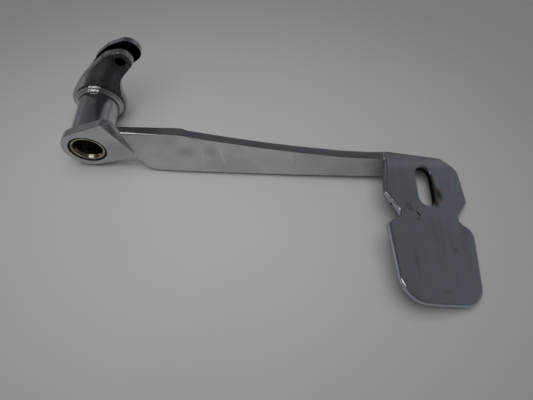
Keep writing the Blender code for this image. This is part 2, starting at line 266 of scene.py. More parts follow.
def revolved_mesh(name, profile, ripple=None):
    """A ring about the Y axis from a closed profile; ripple(angle, radius, y) adds to the radius."""
    count = len(profile)
    points = []
    for i in range(RING_STEPS):
        angle = 2.0 * math.pi * i / RING_STEPS
        for radius, y in profile:
            reach = radius + (ripple(angle, radius, y) if ripple else 0.0)
            points.append((reach * math.cos(angle), y, reach * math.sin(angle)))
    faces = []
    for i in range(RING_STEPS):
        here = i * count
        ahead = (i + 1) % RING_STEPS * count
        for k in range(count):
            after = (k + 1) % count
            faces.append((here + k, here + after, ahead + after, ahead + k))
    mesh = bpy.data.meshes.new(name)
    mesh.from_pydata(points, [], faces)
    return face_outward(mesh)


def applied(mesh, steps):
    """Run boolean steps of (operation, mesh) on a mesh and return the result."""
    body = bpy.data.objects.new("boolean_body", mesh)
    bpy.context.scene.collection.objects.link(body)
    tools = []
    for operation, tool_mesh in steps:
        tool = bpy.data.objects.new("boolean_tool", tool_mesh)
        bpy.context.scene.collection.objects.link(tool)
        tools.append(tool)
        step = body.modifiers.new(operation, "BOOLEAN")
        step.operation = operation
        step.solver = "EXACT"
        step.object = tool
    graph = bpy.context.evaluated_depsgraph_get()
    result = bpy.data.meshes.new_from_object(body.evaluated_get(graph))
    for spare in [body] + tools:
        bpy.data.objects.remove(spare, do_unlink=True)
    return result


def hole_cutter(outline, radius, thickness, edge):
    """A cutter for a hole whose rims are rounded; outline(radius) gives the hole at a radius."""
    rim = [(edge * (1.0 - math.cos(a)), edge * (1.0 - math.sin(a)))
           for a in np.radians((0.0, 30.0, 60.0, 90.0))]
    half = thickness / 2.0
    levels = [(-half - edge, edge)] + [(-half + depth, wider) for depth, wider in rim]
    levels += [(half - depth, wider) for depth, wider in reversed(rim)] + [(half + edge, edge)]
    rings = [[(p.x, p.y, z) for p in outline(radius + wider)] for z, wider in levels]
    return loft_mesh("hole", rings)


def shade(mesh, sharp_angle):
    """Shade roundings smoothly and keep the flat faces beside them flat.

    Each normal is a mean over the faces at its corner, and a face counts for as much
    as the whole flat area that it belongs to.
    """
    shell = bmesh.new()
    shell.from_mesh(mesh)
    shell.normal_update()
    shell.faces.ensure_lookup_table()
    weight = [0.0] * len(shell.faces)
    for seed in shell.faces:
        if weight[seed.index]:
            continue
        group, ahead = {seed}, [seed]
        while ahead:
            face = ahead.pop()
            for edge in face.edges:
                for other in edge.link_faces:
                    if other not in group and face.normal.dot(other.normal) > FLAT_COSINE:
                        group.add(other)
                        ahead.append(other)
        area = sum(face.calc_area() for face in group)
        for face in group:
            weight[face.index] = area
    least = math.cos(math.radians(sharp_angle))
    normals = []
    for face in shell.faces:
        for corner in face.verts:
            near = [other for other in corner.link_faces if face.normal.dot(other.normal) > least]
            total = sum((other.normal * weight[other.index] for other in near), Vector())
            normals.append((total or face.normal).normalized())
    shell.free()
    mesh.shade_smooth()
    mesh.normals_split_custom_set(normals)


def add_piece(name, node, mesh, finish, sharp_angle=32.0):
    """Show a mesh in place of a CAD node, set down with the rest of the lever."""
    mesh.transform(PIVOT)
    piece = bpy.data.objects.new(name, mesh)
    bpy.context.scene.collection.objects.link(piece)
    mesh.materials.clear()
    mesh.materials.append(finish)
    shade(mesh, sharp_angle)
    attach(piece, "root")
    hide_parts(node)
    return piece


# ---------------------------------------------------------------- materials

def smooth_range(nodes, links, value, low, high, to_low, to_high):
    """A node that carries a value softly from one range to another."""
    node = nodes.new("ShaderNodeMapRange")
    node.interpolation_type = "SMOOTHSTEP"
    node.inputs["From Min"].default_value = low
    node.inputs["From Max"].default_value = high
    node.inputs["To Min"].default_value = to_low
    node.inputs["To Max"].default_value = to_high
    links.new(value, node.inputs["Value"])
    return node.outputs["Result"]


class Tree:
    """A material's nodes, with short calls for the ones used here."""

    def __init__(self, name, colour, metallic, roughness, axes=PIVOT):
        self.material = bpy.data.materials.new(name)
        self.material.use_nodes = True
        self.nodes = self.material.node_tree.nodes
        self.links = self.material.node_tree.links
        self.shader = self.nodes["Principled BSDF"]
        self.shader.inputs["Base Color"].default_value = (*colour, 1.0)
        self.shader.inputs["Metallic"].default_value = metallic
        self.shader.inputs["Roughness"].default_value = roughness
        self.place = self.nodes.new("ShaderNodeTexCoord").outputs["Object"]
        self.place = self.mapped((1.0, 1.0, 1.0), axes.to_translation(), axes.to_euler(), "TEXTURE")

    def link(self, source, target):
        self.links.new(source, target)

    def mapped(self, scale, location=(0.0, 0.0, 0.0), turn=(0.0, 0.0, 0.0), kind="POINT"):
        """The place on the lever, scaled, turned and moved; TEXTURE undoes that instead."""
        node = self.nodes.new("ShaderNodeMapping")
        node.vector_type = kind
        node.inputs["Location"].default_value = location
        node.inputs["Rotation"].default_value = turn
        node.inputs["Scale"].default_value = scale
        self.link(self.place, node.inputs["Vector"])
        return node.outputs["Vector"]

    def noise(self, scale, detail=3.0, roughness=0.5, stretch=(1.0, 1.0, 1.0)):
        """Noise of about scale bumps in a metre; a stretch below 1 draws it out along that axis."""
        node = self.nodes.new("ShaderNodeTexNoise")
        node.inputs["Scale"].default_value = scale
        node.inputs["Detail"].default_value = detail
        node.inputs["Roughness"].default_value = roughness
        self.link(self.mapped(stretch), node.inputs["Vector"])
        return node.outputs["Fac"]

    def ranged(self, value, low, high, to_low=0.0, to_high=1.0):
        """A value carried softly from low and high to to_low and to_high."""
        return smooth_range(self.nodes, self.links, value, low, high, to_low, to_high)

    def math(self, operation, first, second):
        """A sum on two values; either may be a number."""
        node = self.nodes.new("ShaderNodeMath")
        node.operation = operation
        for socket, value in zip(node.inputs, (first, second)):
            if isinstance(value, float):
                socket.default_value = value
            else:
                self.link(value, socket)
        return node.outputs["Value"]

    def spot(self, centre, radii, turn=(0.0, 0.0, 0.0), core=0.2, ragged=0.0):
        """A soft oval mark: 1 in its middle, 0 outside."""
        centred = self.mapped(radii, centre, turn, "TEXTURE")
        length = self.nodes.new("ShaderNodeVectorMath")
        length.operation = "LENGTH"
        self.link(centred, length.inputs[0])
        distance = length.outputs["Value"]
        if ragged:
            wobble = self.math("MULTIPLY", self.noise(420.0, 4.0, 0.6), ragged)
            distance = self.math("ADD", distance, self.math("SUBTRACT", wobble, ragged * 0.5))
        return self.ranged(distance, 1.0, core)

    def mixed(self, factor, first, second):
        """Two colours mixed by a factor; either may be a socket."""
        node = self.nodes.new("ShaderNodeMix")
        node.data_type = "RGBA"
        self.link(factor, node.inputs["Factor"])
        for key, value in (("A", first), ("B", second)):
            socket = next(s for s in node.inputs if s.name == key and s.type == "RGBA")
            if isinstance(value, tuple):
                socket.default_value = (*value, 1.0)
            else:
                self.link(value, socket)
        return next(s for s in node.outputs if s.type == "RGBA")

    def strongest(self, masks):
        """The highest of several masks at each place."""
        highest = masks[0]
        for mask in masks[1:]:
            highest = self.math("MAXIMUM", highest, mask)
        return highest

    def source(self, key):
        """The socket that feeds one of the shader's inputs."""
        return self.shader.inputs[key].links[0].from_socket

    def colour(self, socket):
        self.link(socket, self.shader.inputs["Base Color"])

    def rough(self, socket):
        self.link(socket, self.shader.inputs["Roughness"])

    def bump(self, height, depth, below=None):
        """Relief of that depth, laid over the relief below it if there is one."""
        node = self.nodes.new("ShaderNodeBump")
        node.inputs["Distance"].default_value = depth
        node.inputs["Strength"].default_value = 1.0
        self.link(height, node.inputs["Height"])
        if below:
            self.link(below, node.inputs["Normal"])
        self.link(node.outputs["Normal"], self.shader.inputs["Normal"])
        return node.outputs["Normal"]


CHROME = (0.50, 0.51, 0.535)
CHROME_DULL = (0.44, 0.45, 0.47)
PLATE_CHROME = (0.50, 0.525, 0.575)
PLATE_CHROME_DULL = (0.46, 0.485, 0.535)
# A darker copy of the plating for the clevis: painted shade for the dark things its faces reflect.
CLEVIS_SHADED_CHROME = (0.42, 0.43, 0.45)
CLEVIS_SHADED_CHROME_DULL = (0.35, 0.36, 0.38)
# Smudges, and painted shade on the arm.
SMUDGE_AND_SHADE = (0.34, 0.35, 0.37)
RUB_LINE = (0.74, 0.75, 0.76)
# Wear, and painted shade on the foot plate's side walls.
WORN_AND_SHADE = (0.32, 0.33, 0.34)
# Brown stains, and painted shade in the slot and on the bent lip.
STAIN_AND_SHADE = (0.20, 0.165, 0.12)
# Nicks, and painted shade in the foot plate's slot.
NICK_AND_SLOT_SHADE = (0.035, 0.033, 0.032)
# Near-black painted shade for the clevis gap and the pin holes.
GAP_SHADE = (0.022, 0.021, 0.020)
BRONZE = (0.40, 0.37, 0.30)
BRONZE_GRIME = (0.19, 0.165, 0.12)
RUBBER = (0.010, 0.010, 0.011)
RUBBER_DUST = (0.030, 0.028, 0.026)

RIPPLE_DEPTH = 0.05 * MM
HAIR_DEPTH = 0.0015 * MM
BRONZE_DEPTH = 0.01 * MM
RUBBER_DEPTH = 0.02 * MM
WELD_DEPTH = 0.12 * MM
# Painted shade, near black, fills the clevis gap within this reach of this place.
GAP_SHADE_MIDDLE = Vector((17.0, 34.0)) * MM
GAP_SHADE_REACH = 66.0 * MM
# The foot plate gets painted shade, darker and rougher, within this reach of its under side, and
# painted shade in its slot round this level, within this reach across, along and up.
SIDE_WALL_REACH = 3.2 * MM
SLOT_WALL_LEVEL = -2.9 * MM
SLOT_WALL_REACH = Vector((16.0, 28.0, 2.4)) * MM

# Each is (middle along and up the bar, reach both ways, turn, strength), in mm.
# The first three are thumb smudges. The others are painted shade on the eye, on the bar's end by the foot
# plate and along its lower edge.
ARM_SMUDGES_AND_SHADE = [((34.9, 13.5), (8.5, 6.5), 0.0, 0.75), ((51.5, 15.0), (8.0, 7.0), 0.2, 0.7),
               ((74.0, 8.0), (9.0, 5.0), 0.1, 0.35), ((-16.0, 12.0), (22.0, 18.0), 0.5, 0.75),
               ((-40.0, 12.0), (34.0, 30.0), 0.0, 0.5), ((172.0, 8.0), (9.0, 30.0), 0.0, 0.5),
               ((150.0, 8.0), (60.0, 30.0), 0.0, 0.45), ((25.0, -8.6), (85.0, 6.6), -0.045, 0.4)]
# Each is (one end, other end, strength), in mm along and up the bar.
ARM_RUB_LINES = [((56.8, 24.1), (63.2, -3.5), 0.6), ((107.0, 20.0), (110.5, 4.0), 0.3),
                 ((45.0, 19.0), (46.6, 6.0), 0.45)]
RUB_LINE_WIDTH = 1.1
MARK_DEPTH = 8.0
# Each is (middle across and along the plate, reach both ways, turn, strength), in mm.
# Most are brown stains. Those at (7.2, 20.0) and (2.6, 36.6) paint shade on the slot's walls, and the last
# one paints the bent lip darker, as painted shade.
PLATE_STAINS_AND_SHADE = [((9.0, 16.8), (5.2, 8.0), 0.25, 1.0), ((6.4, 10.2), (3.6, 5.0), -0.5, 1.0),
                ((-15.0, 4.4), (3.2, 5.6), 0.5, 0.55), ((-10.2, -3.2), (3.4, 3.0), 0.0, 0.45),
                ((14.3, -23.2), (3.6, 3.0), 0.0, 0.40), ((-16.3, -33.0), (2.4, 13.0), 0.05, 0.28),
                ((1.8, -52.0), (4.0, 1.6), 0.0, 0.35), ((1.0, 38.2), (5.0, 2.6), 0.0, 0.5),
                ((7.2, 20.0), (1.6, 17.0), 0.0, 1.0), ((2.6, 36.6), (6.0, 1.8), -0.2, 0.9),
                ((0.0, 47.0), (46.0, 10.5), 0.148, 0.30)]
PLATE_MARK_LEVEL = -1.5
PLATE_MARK_DEPTH = 9.0


def worn_chrome(name, colour=CHROME, dull=CHROME_DULL, rough=(0.10, 0.26),
                scratches=(1.0, 1.0, 1.0), axes=PIVOT):
    """Plating with a fine haze, uneven polish, hair scratches and a slight ripple in its surface."""
    tree = Tree(name, colour, 1.0, rough[0], axes)
    haze = tree.ranged(tree.noise(55.0, 4.0, 0.55), 0.30, 0.72)
    hair = tree.noise(900.0, 2.0, 0.6, scratches)
    tree.colour(tree.mixed(haze, colour, dull))
    lines = tree.ranged(hair, 0.55, 0.75, 0.0, 0.10)
    tree.rough(tree.math("ADD", tree.ranged(haze, 0.0, 1.0, rough[0], rough[1]), lines))
    ripple = tree.bump(tree.noise(38.0, 2.0, 0.4), RIPPLE_DEPTH)
    tree.bump(hair, HAIR_DEPTH, ripple)
    return tree


def arm_chrome():
    """Brighter plating, smudged by thumbs and darkened by painted shade on the eye, the bar's end and its
    lower edge, with pale rub lines on the arm's face.
    """
    tree = worn_chrome("arm_plating", rough=(0.16, 0.32), scratches=(0.08, 1.0, 1.0))

    def mark(x, z, reach, turn, strength, core, ragged):
        radii = Vector((reach[0], MARK_DEPTH, reach[1])) * MM
        spot = tree.spot(ARM_FRAME @ (Vector((x, 0.0, z)) * MM), radii, (0.0, turn, 0.0), core, ragged)
        return tree.math("MULTIPLY", spot, strength)

    # Smudges and painted shade, both darkening the plating.
    smudges_and_shade = [mark(x, z, reach, turn, strength, 0.2, 0.5)
               for (x, z), reach, turn, strength in ARM_SMUDGES_AND_SHADE]
    rubs = []
    for (x0, z0), (x1, z1), strength in ARM_RUB_LINES:
        reach = (math.hypot(x1 - x0, z1 - z0) / 2.0 * 1.1, RUB_LINE_WIDTH)
        turn = -math.atan2(z1 - z0, x1 - x0)
        rubs.append(mark((x0 + x1) / 2.0, (z0 + z1) / 2.0, reach, turn, strength, 0.0, 0.3))
    darker = tree.mixed(tree.strongest(smudges_and_shade), tree.source("Base Color"), SMUDGE_AND_SHADE)
    tree.colour(tree.mixed(tree.strongest(rubs), darker, RUB_LINE))
    return tree.material


def plate_chrome():
    """Scuffed plating with brown staining by the slot, a dark nick, fine wear along the plate, and painted
    shade on its side walls, in its slot and on its bent lip.
    """
    tree = worn_chrome("plate_plating", PLATE_CHROME, PLATE_CHROME_DULL, (0.16, 0.24),
                       (1.0, 0.05, 1.0), PIVOT @ PLATE_FRAME)

    def mark(x, y, z, radii, turn=0.0, core=0.2, ragged=0.0):
        return tree.spot(Vector((x, y, z)) * MM, Vector(radii) * MM, (0.0, 0.0, turn), core, ragged)

    stain_and_shade_marks = []
    # Stains, and painted shade on the slot's walls and the bent lip.
    for (x, y), (width, height), turn, strength in PLATE_STAINS_AND_SHADE:
        spot = mark(x, y, PLATE_MARK_LEVEL, (width, height, PLATE_MARK_DEPTH), turn, ragged=0.5)
        stain_and_shade_marks.append(tree.math("MULTIPLY", spot, strength))
    stain_and_shade = tree.strongest(stain_and_shade_marks)
    streaks = tree.ranged(tree.noise(260.0, 3.0, 0.6, (1.0, 0.06, 1.0)), 0.50, 0.75, 0.0, 0.22)
    clouds = tree.ranged(tree.noise(60.0, 4.0, 0.6, (1.0, 0.5, 1.0)), 0.48, 0.75, 0.0, 0.40)
    # Painted shade: the plate is darkened near its under side, on its side walls.
    walls = tree.spot((0.0, 0.0, -PLATE_THICKNESS), (1.0, 1.0, SIDE_WALL_REACH), core=0.7)
    # Wear streaks and clouds, together with the painted shade on the walls.
    worn = tree.strongest([tree.math("ADD", streaks, clouds), walls])
    streaked_and_shaded = tree.mixed(worn, tree.source("Base Color"), WORN_AND_SHADE)
    stained_and_shaded = tree.mixed(stain_and_shade, streaked_and_shaded, STAIN_AND_SHADE)
    # Painted shade: the slot's walls are painted near black.
    slot_wall_shade = tree.spot((*SLOT_CENTRE, SLOT_WALL_LEVEL), SLOT_WALL_REACH, core=0.8)
    nick = mark(-9.4, 0.2, 0.0, (2.9, 0.75, 9.0), -0.80, 0.5)
    side_nick = mark(-27.4, 6.6, -3.4, (2.2, 1.3, 1.8), core=0.5)
    tree.colour(tree.mixed(tree.strongest([nick, side_nick, slot_wall_shade]), stained_and_shaded, NICK_AND_SLOT_SHADE))
    dull = tree.math("MULTIPLY", tree.strongest([stain_and_shade, walls]), 0.3)
    tree.rough(tree.math("ADD", tree.source("Roughness"), dull))
    return tree.material


def clevis_chrome(name):
    """Plating with painted shade, near black, between the clevis plates and in the pin holes."""
    # The clevis gets the darker copy of the plating, as painted shade.
    tree = worn_chrome(name, CLEVIS_SHADED_CHROME, CLEVIS_SHADED_CHROME_DULL, (0.07, 0.20), (1.0, 1.0, 0.07))
    between = CLEVIS_FRONT + CLEVIS_THICKNESS + CLEVIS_GAP / 2.0
    # Painted shade: the gap between the plates and the pin hole are painted near black.
    gap = tree.spot((GAP_SHADE_MIDDLE.x, between, GAP_SHADE_MIDDLE.y),
                    (GAP_SHADE_REACH, CLEVIS_GAP * 0.68, GAP_SHADE_REACH), core=0.84)
    reach = PIN_HOLE_RADIUS * 1.2
    hole = tree.spot((PIN_HOLE.x, between, PIN_HOLE.y), (reach, 0.2, reach), core=0.9)
    tree.colour(tree.mixed(tree.strongest([gap, hole]), tree.source("Base Color"), GAP_SHADE))
    return tree.material


def bronze(name):
    """Turned bronze under patches of old grease."""
    tree = Tree(name, BRONZE, 1.0, 0.3)
    grime = tree.ranged(tree.noise(260.0, 4.0, 0.6), 0.40, 0.66)
    tree.colour(tree.mixed(grime, BRONZE, BRONZE_GRIME))
    tree.rough(tree.ranged(grime, 0.0, 1.0, 0.12, 0.36))
    tree.bump(tree.noise(1500.0, 2.0, 0.5, (0.1, 1.0, 0.1)), BRONZE_DEPTH)
    return tree.material


def seal_rubber(name):
    """Black rubber with a little dust on it."""
    tree = Tree(name, RUBBER, 0.0, 0.5)
    dust = tree.ranged(tree.noise(700.0, 3.0, 0.6), 0.45, 0.75)
    tree.colour(tree.mixed(dust, RUBBER, RUBBER_DUST))
    tree.rough(tree.ranged(dust, 0.0, 1.0, 0.42, 0.75))
    tree.bump(tree.noise(1100.0, 2.0), RUBBER_DEPTH)
    return tree.material


def weld_chrome(name):
    """Plating over the small ridges of a weld."""
    tree = worn_chrome(name, rough=(0.18, 0.36))
    tree.bump(tree.noise(420.0, 3.0, 0.5), WELD_DEPTH, tree.source("Normal"))
    return tree.material


# ---------------------------------------------------------------- the lever arm

def eye_body():
    """The eye: its front corner is crisp, and its shoulder flares to a rounded back corner."""
    start = tangent_angle(SHOULDER_TOP, EYE_RADIUS, 1.0)
    end = tangent_angle(SHOULDER_TIP, EYE_RADIUS, -1.0) + 360.0
    ring = arc(Vector((0.0, 0.0)), EYE_RADIUS, start, end)
    first, last = ring[0], ring[-1]

    def outline(share):
        """The eye's outline at a share of the way from its front to its back."""
        top = SHOULDER_TOP + SHOULDER_FLARE * share
        radius = SHOULDER_FRONT_RADIUS + (SHOULDER_BACK_RADIUS - SHOULDER_FRONT_RADIUS) * share
        corners = [(last.x, last.y, 0.0), (SHOULDER_TIP.x, SHOULDER_TIP.y, SHOULDER_TIP_RADIUS),
                   (top.x, top.y, radius), (first.x, first.y, 0.0)]
        return rounded(corners, 10) + ring[1:-1]

    edge = [(0.0, EYE_EDGE)] + [(EYE_EDGE * (1.0 - math.cos(a)), EYE_EDGE * (1.0 - math.sin(a)))
                                for a in np.radians((22.5, 45.0, 67.5, 90.0))]
    levels = edge + [(EYE_THICKNESS * 0.45, 0.0), (EYE_THICKNESS * 0.7, 0.0)]
    levels += [(EYE_THICKNESS - depth, inset) for depth, inset in reversed(edge)]
    rings = []
    for depth, inset in levels:
        moved = [p - (p - EYE_MIDDLE).normalized() * inset for p in outline(depth / EYE_THICKNESS)]
        rings.append([(p.x, depth, p.y) for p in moved])
    return loft_mesh("eye", rings)


def rounded_section(low, high, thickness, radii):
    """A rectangle in YZ with its four corners rounded: front low, back low, back high, front high."""
    corners = [(0.0, low, radii[0]), (thickness, low, radii[1]),
               (thickness, high, radii[2]), (0.0, high, radii[3])]
    return rounded(corners, 7)


def arm_body():
    """The bar of the arm, lofted along its length, with a wide rounding on its lower front edge."""
    stations = np.concatenate([np.arange(ARM_START, ARM_CURVED_END, 1.25),
                               np.arange(ARM_CURVED_END, ARM_END + 0.1, 2.5)])
    rings = []
    for x in stations:
        low = blended(ARM_LOWER_EDGE, x, 4.0 if x > 20.0 else 1.4)
        high = blended(ARM_TOP_EDGE, x, 3.0)
        radii = (blended(FRONT_LOWER_ROUNDING, x), 0.7, blended(BACK_TOP_ROUNDING, x),
                 blended(FRONT_TOP_ROUNDING, x))
        section = rounded_section(low, high, blended(ARM_THICKNESS, x, 1.0), radii)
        lean = blended(FRONT_LEAN, x)
        leaning = [(y - lean * (high - z) / (high - low), z) for y, z in section]
        rings.append([ARM_FRAME @ (Vector((x, y, z)) * MM) for y, z in leaning])
    return loft_mesh("bar", rings)


def neck_body():
    """The web under the eye's shoulder."""
    corners = [(0.0, -17.3, 1.4), (28.0, -16.4, 8.0), (46.0, -18.4, 1.4), (50.0, -4.0, 1.4),
               (24.0, 2.0, 1.4), (18.0, -6.0, 1.4)]
    outline = [p * MM for p in rounded(corners)]
    return upright(slab_mesh("neck", outline, NECK_THICKNESS, NECK_EDGE), NECK_FRONT, NECK_THICKNESS)


def disc_cutter(radius, start, end):
    outline = circle(Vector((0.0, 0.0)), radius, RING_STEPS)
    return upright(slab_mesh("disc", outline, end - start), start, end - start)


def plate_room():
    """What is cut from the arm's end so that it stops inside the edge of the foot plate."""
    low = Vector((PLATE_EDGE + GAP, 20.0 * MM, -0.7 * PLATE_THICKNESS))
    high = Vector((0.0, 60.0 * MM, 15.0 * MM))
    room = bmesh.new()
    bmesh.ops.create_cube(room, size=1.0)
    bmesh.ops.scale(room, vec=high - low, verts=room.verts)
    bmesh.ops.translate(room, vec=(low + high) / 2.0, verts=room.verts)
    mesh = bpy.data.meshes.new("plate_room")
    room.to_mesh(mesh)
    room.free()
    mesh.transform(PLATE_FRAME)
    return mesh


def make_lever_arm():
    """The eye, the web under it and the bar, cut to take the bush, its seal, the weld and the plate."""
    before = -5.0 * MM
    deep = EYE_THICKNESS + 4.0 * MM
    steps = [("UNION", neck_body()), ("UNION", arm_body()),
             ("DIFFERENCE", disc_cutter(TUBE_BORE_RADIUS, before, deep)),
             ("DIFFERENCE", disc_cutter(SEAL_RADIUS + GAP, before, SEAL_SEAT_DEPTH)),
             ("DIFFERENCE", disc_cutter(WELD_ROOM_RADIUS, EYE_THICKNESS, deep)),
             ("DIFFERENCE", plate_room())]
    add_piece("lever_arm_plated", "lever_arm", applied(eye_body(), steps), arm_chrome())


# ---------------------------------------------------------------- the pivot

def make_pivot():
    """The tube, with a seat for a seal at its back end, and a bush and a seal at each end."""
    start = EYE_THICKNESS + GAP
    seat = TUBE_END - SEAL_SEAT_DEPTH
    corners = [(TUBE_BORE_RADIUS, start, 0.2 * MM), (TUBE_RADIUS, start, 0.2 * MM),
               (TUBE_RADIUS, TUBE_END, 0.3 * MM), (SEAL_RADIUS + GAP, TUBE_END, 0.2 * MM),
               (SEAL_RADIUS + GAP, seat, 0.1 * MM), (TUBE_BORE_RADIUS, seat, 0.1 * MM)]
    tube = worn_chrome("tube_plating", rough=(0.10, 0.24), scratches=(1.0, 0.08, 1.0)).material
    add_piece("pivot_tube_plated", "pivot_tube",
              revolved_mesh("tube", ring_profile(corners)), tube)

    rear_end = TUBE_END - BUSH_RECESS
    for place, bush_start in (("front", BUSH_RECESS), ("rear", rear_end - BUSH_LENGTH)):
        bush_end = bush_start + BUSH_LENGTH
        mouth = BORE_RADIUS + BUSH_CHAMFER
        corners = [(mouth, bush_start, 0.5 * MM), (BUSH_RADIUS, bush_start, 0.3 * MM),
                   (BUSH_RADIUS, bush_end, 0.3 * MM), (mouth, bush_end, 0.5 * MM),
                   (BORE_RADIUS, bush_end - BUSH_CHAMFER_DEPTH, 1.0 * MM),
                   (BORE_RADIUS, bush_start + BUSH_CHAMFER_DEPTH, 1.0 * MM)]
        add_piece(place + "_bush_worn", place + "_bush",
                  revolved_mesh(place + "_bush", ring_profile(corners, 6)), bronze(place + "_bush_metal"))
    for place, seal_start in (("front", 2.0 * BUSH_RECESS), ("rear", rear_end - BUSH_RECESS - SEAL_WIDTH)):
        inner = BUSH_RADIUS + GAP
        seal_end = seal_start + SEAL_WIDTH
        corners = [(inner, seal_start, SEAL_EDGE), (SEAL_RADIUS, seal_start, SEAL_EDGE),
                   (SEAL_RADIUS, seal_end, SEAL_EDGE), (inner, seal_end, SEAL_EDGE)]
        add_piece(place + "_seal_moulded", place + "_seal_ring",
                  revolved_mesh(place + "_seal", ring_profile(corners)),
                  seal_rubber(place + "_seal_moulding"))


# ---------------------------------------------------------------- the clevis

def front_plate_outline():
    """A lobe round the tube, a hollow inner edge, a round tip and a bowed back edge, in mm."""
    lobe = arc(Vector((0.0, 0.0)), LOBE_RADIUS / MM, 150.0, 366.0)
    tip = arc(Vector((25.9, 41.4)), 8.15, -36.0, 92.0)
    hollow = [Vector(p) for p in ((19.2, 9.5), (20.2, 17.0), (22.2, 23.2), (26.6, 29.6))]
    bow = [Vector(p) for p in ((16.4, 46.6), (8.2, 39.6), (-4.2, 27.3), (-11.4, 18.4))]
    inner = smooth_curve([lobe[-1]] + hollow + [tip[0]], 6)
    back = smooth_curve([tip[-1]] + bow + [lobe[0]], 6)
    return [p * MM for p in lobe + inner[1:-1] + tip + back[1:-1]]


def rear_tab_outline():
    """A round foot on the spacer, widening to a blunt tip, in mm."""
    foot = arc(SPACER_CENTRE / MM, 9.0, 160.0, 315.0)
    tip = arc(Vector((28.3, 40.2)), 9.6, -48.0, 92.0)
    bow = [Vector(p) for p in ((17.0, 45.2), (6.6, 36.6), (3.6, 32.4))]
    back = smooth_curve([tip[-1]] + bow + [foot[0]], 6)
    return [p * MM for p in foot + tip + back[1:-1]]


def make_clevis():
    """The two plates that hold the push-rod's pin, and the spacer between them."""
    def tube_hole(radius):
        return circle(Vector((0.0, 0.0)), radius, RING_STEPS)

    def pin_hole(radius):
        return circle(PIN_HOLE, radius, 48)

    plates = {
        "clevis_front_plate": (front_plate_outline(), CLEVIS_FRONT,
                               [(tube_hole, TUBE_RADIUS + GAP), (pin_hole, PIN_HOLE_RADIUS)]),
        "clevis_rear_tab": (rear_tab_outline(), CLEVIS_REAR, [(pin_hole, REAR_HOLE_RADIUS)]),
    }
    for name, (outline, front, holes) in plates.items():
        cuts = [("DIFFERENCE", hole_cutter(hole, radius, CLEVIS_THICKNESS, PIN_HOLE_EDGE))
                for hole, radius in holes]
        plate = applied(slab_mesh(name, outline, CLEVIS_THICKNESS, CLEVIS_EDGE), cuts)
        mesh = upright(plate, front, CLEVIS_THICKNESS)
        add_piece(name + "_plated", name, mesh, clevis_chrome(name + "_plating"))

    length = CLEVIS_GAP - 2.0 * GAP
    spacer = slab_mesh("clevis_spacer", circle(SPACER_CENTRE, SPACER_RADIUS), length, SPACER_EDGE)
    mesh = upright(spacer, CLEVIS_FRONT + CLEVIS_THICKNESS + GAP, length)
    add_piece("clevis_spacer_plated", "clevis_spacer", mesh,
              clevis_chrome("spacer_plating"))


# ---------------------------------------------------------------- the welds

def weld_ripple(angle, radius, y):
    """The scales of a weld laid round the tube: they fade where the bead meets the tube."""
    outward = max(0.0, radius - TUBE_RADIUS - GAP)
    fade = min(1.0, outward / (1.2 * MM))
    drift = math.sin(3.0 * angle + 0.7) + 0.6 * math.sin(7.0 * angle + 1.9)
    scales = 0.5 + 0.5 * math.cos(WELD_SCALES * angle + 0.8 * drift + y / MM)
    return -WELD_SCALE_DEPTH * fade * (scales + 0.25 * drift + 0.4)


def make_pivot_welds():
    """The ring welds; each hill is (distance out, height), in mm, over the face the weld lies on."""
    inner = TUBE_RADIUS + GAP
    start = EYE_THICKNESS + GAP
    end = CLEVIS_FRONT - GAP
    back = CLEVIS_FRONT + CLEVIS_THICKNESS + GAP
    hills = {
        "eye_weld": ([(0.0, 2.0), (0.7, 1.9), (1.6, 1.1), (2.1, 0.0)], start, 1.0),
        "clevis_front_weld": ([(0.0, 3.6), (0.75, 3.4), (1.3, 2.75), (1.45, 2.1), (1.75, 1.75), (2.3, 1.6),
                               (2.85, 1.0), (3.0, 0.0)], end, -1.0),
        "clevis_rear_weld": ([(0.0, 1.6), (0.5, 1.5), (1.1, 0.9), (1.5, 0.0)], back, 1.0),
    }
    for name, (hill, base, side) in hills.items():
        crest = smooth_curve([Vector(p) for p in hill], 4)
        profile = [(inner + p.x * MM, base + side * p.y * MM) for p in crest] + [(inner, base)]
        mesh = revolved_mesh(name, profile, weld_ripple)
        add_piece(name + "_plated", name, mesh, weld_chrome(name + "_plating"), 60.0)


def bead_mesh(name, route):
    """A weld bead along a route: a round rod with blunt ends and a scaled surface."""
    points = smooth_curve([Vector(p) * MM for p in route], 14)
    along = (points[-1] - points[0]).normalized()
    side = along.cross(Vector((0.0, 0.0, 1.0))).normalized()
    up = side.cross(along)
    angles = [2.0 * math.pi * k / BEAD_STEPS for k in range(BEAD_STEPS)]
    rings = []
    for i, point in enumerate(points):
        share = i / (len(points) - 1)
        blunt = math.sqrt(max(0.06, 1.0 - abs(2.0 * share - 1.0) ** 4))
        scale = 1.0 - 0.07 * (0.5 + 0.5 * math.cos(i * 1.3))
        radius = BEAD_RADIUS * blunt * scale
        rings.append([point + radius * (math.cos(a) * side + math.sin(a) * up) for a in angles])
    return loft_mesh(name, rings)


def make_plate_welds():
    """The beads over and under the arm's end, along routes in mm."""
    routes = {
        "plate_top_weld": [(209.7, -1.4, 6.9), (209.4, -4.5, 7.3), (209.1, -7.6, 7.5)],
        "plate_under_weld": [(211.4, -1.6, 0.9), (211.6, -4.4, 0.8), (211.8, -7.2, 0.7)],
    }
    for name, route in routes.items():
        add_piece(name + "_plated", name, bead_mesh(name, route),
                  weld_chrome(name + "_plating"), 60.0)


# ---------------------------------------------------------------- the foot plate

